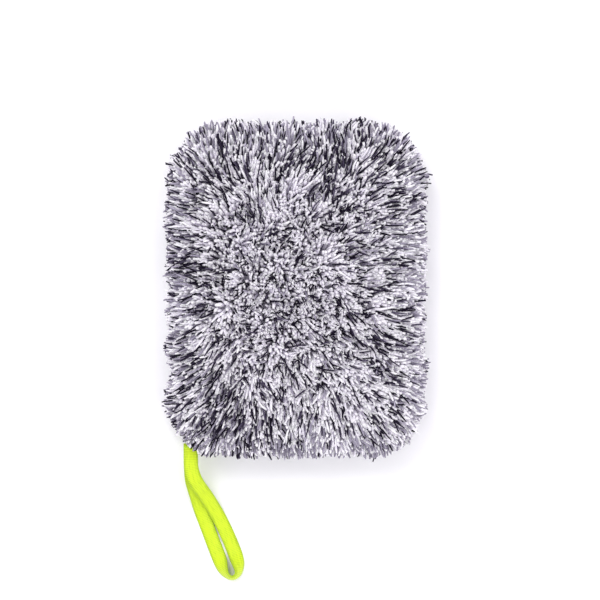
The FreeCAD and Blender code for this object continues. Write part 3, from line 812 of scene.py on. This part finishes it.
def strand_colours(rng, x, y, yarn, border):
    """Each strand's place in STRAND_KINDS, by its yarn, by chance and by the patches, with painted light
    at the border that turns charcoal and some white strands grey.
    """
    yarn_darkness = [0.62, 0.25, 0.10]
    white_below = 0.58
    darkness = np.choose(yarn, yarn_darkness) + rng.uniform(0, 0.45, len(x))
    darkness = darkness + 0.05 * Waves(11, 38 * MM)(x, y)
    for middle, reach, change in DARKER_PATCHES:
        darkness = darkness + change * falling_off(x, y, middle, reach)
    # Painted light: near the border, and most towards the mouth's right, grey strands take the place of
    # charcoal ones and some white ones, which washes out the border's contrast.
    light_towards_mouth_right = smoothstep(-0.2, 1, x / HALF_WIDTH - y / HALF_LENGTH)
    grey_span_and_border_light = 0.08 + 0.14 * border + 0.14 * border * light_towards_mouth_right
    darker = np.where(darkness < white_below + grey_span_and_border_light, GREY, CHARCOAL)
    return np.where(darkness < white_below - 0.07 * border, WHITE, darker)


def finish_strands(rng, name, lines, radius, tone, material, finish_piece):
    piece = strand_mesh(name, lines, radius, tone, material, rng)
    finish_piece(piece)


def make_pile_group(rng, group, strands, finish_piece):
    """Splits a group's strands by half and colour and builds a piece for each."""
    roots, first, last, length, yarn = strands
    count = len(roots)
    x, y = roots[:, 0], roots[:, 1]
    border = smoothstep(30 * MM, 5 * MM, -outline_excess(x, y) - 12 * MM)
    colour = strand_colours(rng, x, y, yarn, border)
    length = length * np.choose(colour, KIND_LENGTHS) * (1 + 0.08 * border * (colour == CHARCOAL))
    lines = shear(rng, gather_tufts(rng, strand_lines(rng, roots, first, last, length)))
    tone = np.clip(rng.normal(0.55, 0.2, count), 0.05, 1)
    radius = rng.uniform(0.9, 1.15, count) * np.choose(colour, KIND_RADII)
    for half, inside in (("tip", y >= 0), ("mouth", y < 0)):
        for number, (kind, material) in enumerate(STRAND_KINDS):
            chosen = inside & (colour == number)
            finish_strands(rng, "%s_%s_%s" % (group, half, kind), lines[chosen], radius[chosen],
                           tone[chosen], material, finish_piece)


def make_underlayer(rng, group, roots, first, length, finish_piece):
    """The short thick loops of the ground, a pale mass that fills the foot of the long pile."""
    count = len(roots)
    lengths = length * rng.uniform(0.8, 1.15, count)
    lines = strand_lines(rng, roots, first, first, lengths, UNDERLAYER_RINGS)
    lines = shear(rng, lines, UNDERLAYER_MARGIN)
    radius = rng.uniform(1.3, 1.7, count) * MM
    tone = np.clip(rng.normal(0.6, 0.12, count), 0.1, 1)
    for half, inside in (("tip", roots[:, 1] >= 0), ("mouth", roots[:, 1] < 0)):
        finish_strands(rng, "%s_%s_underlayer" % (group, half), lines[inside], radius[inside],
                       tone[inside], WHITE_STRAND, finish_piece)


def joined(*groups):
    """Groups of strands put one after another, array by array."""
    return [np.concatenate(parts) for parts in zip(*groups)]


def make_pile():
    """The long strands of the back, the palm and the closed sides, and the underlayers below them."""
    rng = np.random.default_rng(20)

    def on_half(side):
        def finish_piece(piece):
            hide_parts(side + "_pile")
            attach(piece, side)
        return finish_piece

    def on_sides(piece):
        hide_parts("palm_pile", "back_pile")
        side_blend(piece)

    roots, first = face_strands(rng, "back")[:2]
    make_underlayer(rng, "back_pile", roots, first, 12.5 * MM, on_half("back"))
    roots, first = side_strands(rng)[:2]
    make_underlayer(rng, "side_pile", roots, first, 9 * MM, on_sides)
    for side in ("back", "palm"):
        strands = joined(face_strands(rng, side), mouth_strands(rng, side))
        make_pile_group(rng, side + "_pile", strands, on_half(side))
    make_pile_group(rng, "side_pile", side_strands(rng), on_sides)


# ---------------- tapes and stitches

CUFF_TAPE_THICKNESS = 0.9 * MM
CUFF_TAPE_BEND = 2.5 * MM
CUFF_STITCHES = 27
GUSSET_THICKNESS = 0.8 * MM
# The seam tape's two edges, measured inward from the ground cloth's walls.
SEAM_TAPE_OUTSIDE = 0.6 * MM
SEAM_TAPE_INSIDE = 7.3 * MM
SEAM_STITCHES = 57
STITCH_LENGTH = 3 * MM
STITCH_RADIUS = 0.35 * MM
BARTACK_STITCHES = 21
BARTACK_SLANT = 0.14


def make_cuff_tapes():
    """Twill tape folded over the foam's front edge, inside the mouth."""
    thickness = CUFF_TAPE_THICKNESS
    bend = CUFF_TAPE_BEND
    for side in ("palm", "back"):
        low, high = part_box(side + "_cuff_binding")
        front, back = low.y + thickness / 2, high.y
        foot, head = low.z + thickness / 2, high.z - thickness / 2
        turn = np.linspace(0, math.pi / 2, 6)
        profile = [(back, foot), ((front + back) / 2, foot)]
        profile += [(front + bend * (1 - math.sin(a)), foot + bend * (1 - math.cos(a))) for a in turn]
        profile += [(front + bend * (1 - math.cos(a)), head - bend * (1 - math.sin(a))) for a in turn]
        profile += [((front + back) / 2, head), (back, head)]
        x = np.linspace(low.x, high.x, 71)
        wander = 0.25 * MM * Waves(13, 20 * MM)(x, np.zeros_like(x))
        rows = [stacked(x, y + wander * (y > front + bend), z) for y, z in profile]
        tape = grid_mesh(side + "_cuff_tape", np.stack(rows), TWILL_TAPE)
        thicken(tape, thickness)
        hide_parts(side + "_cuff_binding")
        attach(tape, side)


def make_mouth_gussets():
    """The binding's two short uprights, which close the padding's ends beside the mouth."""
    flare = 6.5 * MM
    proud = 1.2 * MM
    hollow = 0.5 * MM
    lining_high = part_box("palm_lining")[1]
    z = np.linspace(PALM_FACE, BACK_FACE, 25)
    from_end = np.minimum(z - PALM_FACE, BACK_FACE - z) / (BACK_FACE - PALM_FACE)
    corner = 1 - smoothstep(0, 0.32, from_end)
    inner = lining_high.x - 0.4 * MM - corner * flare
    outer = HALF_WIDTH - 0.5 * MM
    for name, sign in (("left", -1), ("right", 1)):
        rows = []
        for step in np.linspace(0, 1, 7):
            x = sign * (inner + (outer - inner) * step)
            y = -HALF_LENGTH - proud + hollow * (2 * step - 1)**2
            rows.append(stacked(x, y, z))
        gusset = grid_mesh("mouth_gusset_" + name, np.stack(rows[::sign]), TWILL_TAPE)
        thicken(gusset, GUSSET_THICKNESS)
        side_blend(gusset)


def make_seam_tape():
    """The flat binding sewn between the two halves, round the three closed sides."""
    low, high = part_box("seam_binding")
    share = np.linspace(0, 1, 161)
    rows = []
    for inset in np.linspace(SEAM_TAPE_OUTSIDE, SEAM_TAPE_INSIDE, 5):
        points = closed_sides(share, inset)[0]
        points[:, 2] = SEAM
        rows.append(points)
    tape = grid_mesh("seam_tape", np.stack(rows), TWILL_TAPE)
    thicken(tape, high.z - low.z)
    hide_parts("seam_binding")
    side_blend(tape)


def stitches(name, centres, directions, outward, material, length=STITCH_LENGTH):
    """A row of lock stitches, each bowing out of the cloth and diving back in."""
    bow, dive = 1.6, 0.9
    count = len(centres)
    rng = np.random.default_rng(30)
    t = np.linspace(0, 1, STRAND_RINGS)[None, :, None]
    rise = STITCH_RADIUS * (bow * np.sin(t * math.pi) - dive)
    lines = centres[:, None, :] + directions[:, None, :] * (t - 0.5) * length + outward * rise
    return strand_mesh(name, lines, np.full(count, STITCH_RADIUS), np.full(count, 0.5), material, rng)


def make_cuff_stitches():
    """The row of pale stitches along each cuff tape, on the side that faces the hand."""
    count = CUFF_STITCHES
    for side, inward in (("palm", UP), ("back", -UP)):
        low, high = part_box(side + "_cuff_stitching")
        x = np.linspace(low.x + STITCH_LENGTH / 2, high.x - STITCH_LENGTH / 2, count)
        level = low.z if side == "palm" else high.z
        centres = stacked(x, (low.y + high.y) / 2, level)
        along = np.tile([1.0, 0, 0], (count, 1))
        row = stitches(side + "_cuff_stitches", centres, along, inward, PALE_THREAD)
        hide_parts(side + "_cuff_stitching")
        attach(row, side)


def make_seam_stitches():
    """The row of pale stitches along the seam tape."""
    share = (np.arange(SEAM_STITCHES) + 0.5) / SEAM_STITCHES
    centres, normal = closed_sides(share, SEAM_TAPE_INSIDE / 2)
    centres[:, 2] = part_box("seam_stitching")[1].z
    row = stitches("seam_stitches", centres, np.cross(UP, normal), -UP, PALE_THREAD)
    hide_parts("seam_stitching")
    side_blend(row)


def make_bartack():
    """The dense bar of slanted stitches that holds the ribbon's two plies together."""
    low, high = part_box("hang_loop_bartack")
    count = BARTACK_STITCHES
    x = np.linspace(low.x, high.x, count)
    centres = stacked(x, (low.y + high.y) / 2, low.z)
    slant = np.where(np.arange(count) % 2 == 0, BARTACK_SLANT, -BARTACK_SLANT)
    directions = stacked(slant, 1, 0)
    bar = stitches("hang_loop_bar_tack", centres, directions, UP, LIME_THREAD, high.y - low.y)
    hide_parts("hang_loop_bartack")
    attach(bar, "palm")


# ---------------- the hanging loop

RIBBON_WIDTH = 10.8 * MM
RIBBON_THICKNESS = 1.2 * MM
RIBBON_ARCH = 0.9 * MM
TIP_ROLL = math.radians(64)
LEG_ROLL = math.radians(8)

# The ribbon's way, in millimetres: out of the seam, round the loop and back in on top of itself.
ROOT_OUT = [(-79.3, -113.2, 21.7), (-79.3, -125.0, 21.7)]
LOOP_ROUTE = [
    (-79.1, -133.8, 21.2), (-78.6, -143.0, 18.8), (-76.0, -153.0, 8.6), (-72.4, -166.5, 1.5),
    (-65.8, -184.0, 1.5), (-58.2, -203.6, 1.5),
    (-55.0, -214.0, 1.5), (-49.4, -218.6, 1.5), (-44.0, -216.0, 1.5), (-43.0, -209.5, 1.5),
    (-46.6, -198.9, 1.5), (-53.4, -182.5, 1.5), (-60.6, -168.0, 3.4), (-68.4, -154.5, 12.8),
    (-75.6, -144.0, 22.4), (-79.1, -133.8, 24.0),
]
ROOT_BACK = [(-79.3, -125.0, 23.2), (-79.3, -113.2, 23.2)]


def smooth_route(points):
    """The smooth line that a NURBS curve draws near its control points, in even steps."""
    steps = 180
    data = bpy.data.curves.new("ribbon_route", "CURVE")
    data.dimensions = "3D"
    spline = data.splines.new("NURBS")
    spline.points.add(len(points) - 1)
    for point, place in zip(spline.points, points):
        point.co = (place[0] * MM, place[1] * MM, place[2] * MM, 1)
    spline.order_u = 3
    spline.use_endpoint_u = True
    spline.resolution_u = 24
    curve = collection_link(bpy.data.objects.new("ribbon_route", data))
    bpy.context.view_layer.update()
    drawn = bpy.data.meshes.new_from_object(curve.evaluated_get(bpy.context.evaluated_depsgraph_get()))
    line = np.array([vertex.co for vertex in drawn.vertices])
    bpy.data.objects.remove(curve)
    travelled = np.concatenate([[0], np.cumsum(np.linalg.norm(np.diff(line, axis=0), axis=1))])
    even = np.linspace(0, travelled[-1], steps + 1)
    return np.stack([np.interp(even, travelled, line[:, axis]) for axis in range(3)], axis=1)


def make_ribbon():
    """One ribbon from the seam, flat on the floor down its legs and up on its edge at the tip."""
    half = RIBBON_WIDTH / 2
    line = smooth_route(ROOT_OUT + LOOP_ROUTE + ROOT_BACK)
    share = np.linspace(0, 1, len(line))
    loose = smoothstep(0.2, 0.3, share)
    back_at_root = smoothstep(0.72, 0.8, share)
    roll = TIP_ROLL * smoothstep(0.39, 0.49, share) * (1 - smoothstep(0.50, 0.60, share))
    roll = roll + LEG_ROLL * np.sin(share * 5 * math.pi)**2 * loose
    roll = roll * (1 - back_at_root)
    lifted = FLOOR + 0.3 * MM + RIBBON_THICKNESS / 2 + half * np.abs(np.sin(roll))
    line[:, 2] = np.maximum(line[:, 2], lifted)
    along = unit(np.gradient(line, axis=0))
    outer = unit(np.cross(along, UP))
    normal = np.cross(outer, along)
    across = outer * np.cos(roll)[:, None] - normal * np.sin(roll)[:, None]
    facing = np.cross(across, along)
    u = np.array([-1, -0.9, -0.6, -0.2, 0.2, 0.6, 0.9, 1])
    selvedge = 1 + 0.2 * smoothstep(0.6, 0.9, np.abs(u)) - 0.45 * smoothstep(0.9, 1, np.abs(u))
    offset = np.concatenate([u, u[::-1]])
    height = np.concatenate([selvedge, -selvedge]) * RIBBON_THICKNESS / 2
    arch = RIBBON_ARCH * loose * (1 - back_at_root)
    out_of_flat = height[None, :] + arch[:, None] * (0.5 - offset**2)
    ring = (line[:, None, :] + across[:, None, :] * (offset * half)[None, :, None]
            + facing[:, None, :] * out_of_flat[..., None])
    count, sides = ring.shape[:2]
    index = np.arange(count * sides).reshape(count, sides)
    quads = grid_quads(np.concatenate([index, index[:, :1]], axis=1))
    corners = np.concatenate([quads.ravel(), index[0, ::-1], index[-1]])
    sizes = np.concatenate([np.full(len(quads), 4), [sides, sides]])
    ribbon = mesh_from_arrays("hang_loop_ribbon", ring.reshape(-1, 3), sizes, corners, RIBBON)
    add_ribbon_uvs(ribbon, count, sides)
    # The edge weights that carry the painted shade on the ribbon's edges.
    edge = ribbon.data.attributes.new("edge", "FLOAT", "POINT")
    painted_edge_shade = np.tile(smoothstep(0.5, 0.95, np.abs(offset)), count)
    edge.data.foreach_set("value", painted_edge_shade.astype(np.float32))
    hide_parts("hang_loop", "hang_loop_ends")
    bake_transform(ribbon)


def add_ribbon_uvs(ribbon, count, sides):
    """Unrolls the ribbon: round its section across the map, and along it up the map."""
    spare_corner = 0.995
    step, side = np.meshgrid(np.arange(count - 1), np.arange(sides), indexing="ij")
    u = np.stack([side, side + 1, side + 1, side], axis=-1) / (sides + 1)
    v = np.stack([step, step, step + 1, step + 1], axis=-1) / count
    ends = np.full((2 * sides, 2), spare_corner)
    layer = ribbon.data.uv_layers.new(name="OFBake")
    flat = np.concatenate([np.stack([u, v], axis=-1).reshape(-1, 2), ends])
    layer.data.foreach_set("uv", flat.astype(np.float32).ravel())


# ---------------- the build

add_camera()
add_light()
add_floor()
make_cloths()
make_linings()
make_foams()
make_cuff_tapes()
make_mouth_gussets()
make_seam_tape()
make_cuff_stitches()
make_seam_stitches()
make_bartack()
make_ribbon()
make_pile()

bpy.context.scene.view_settings.view_transform = "Standard"
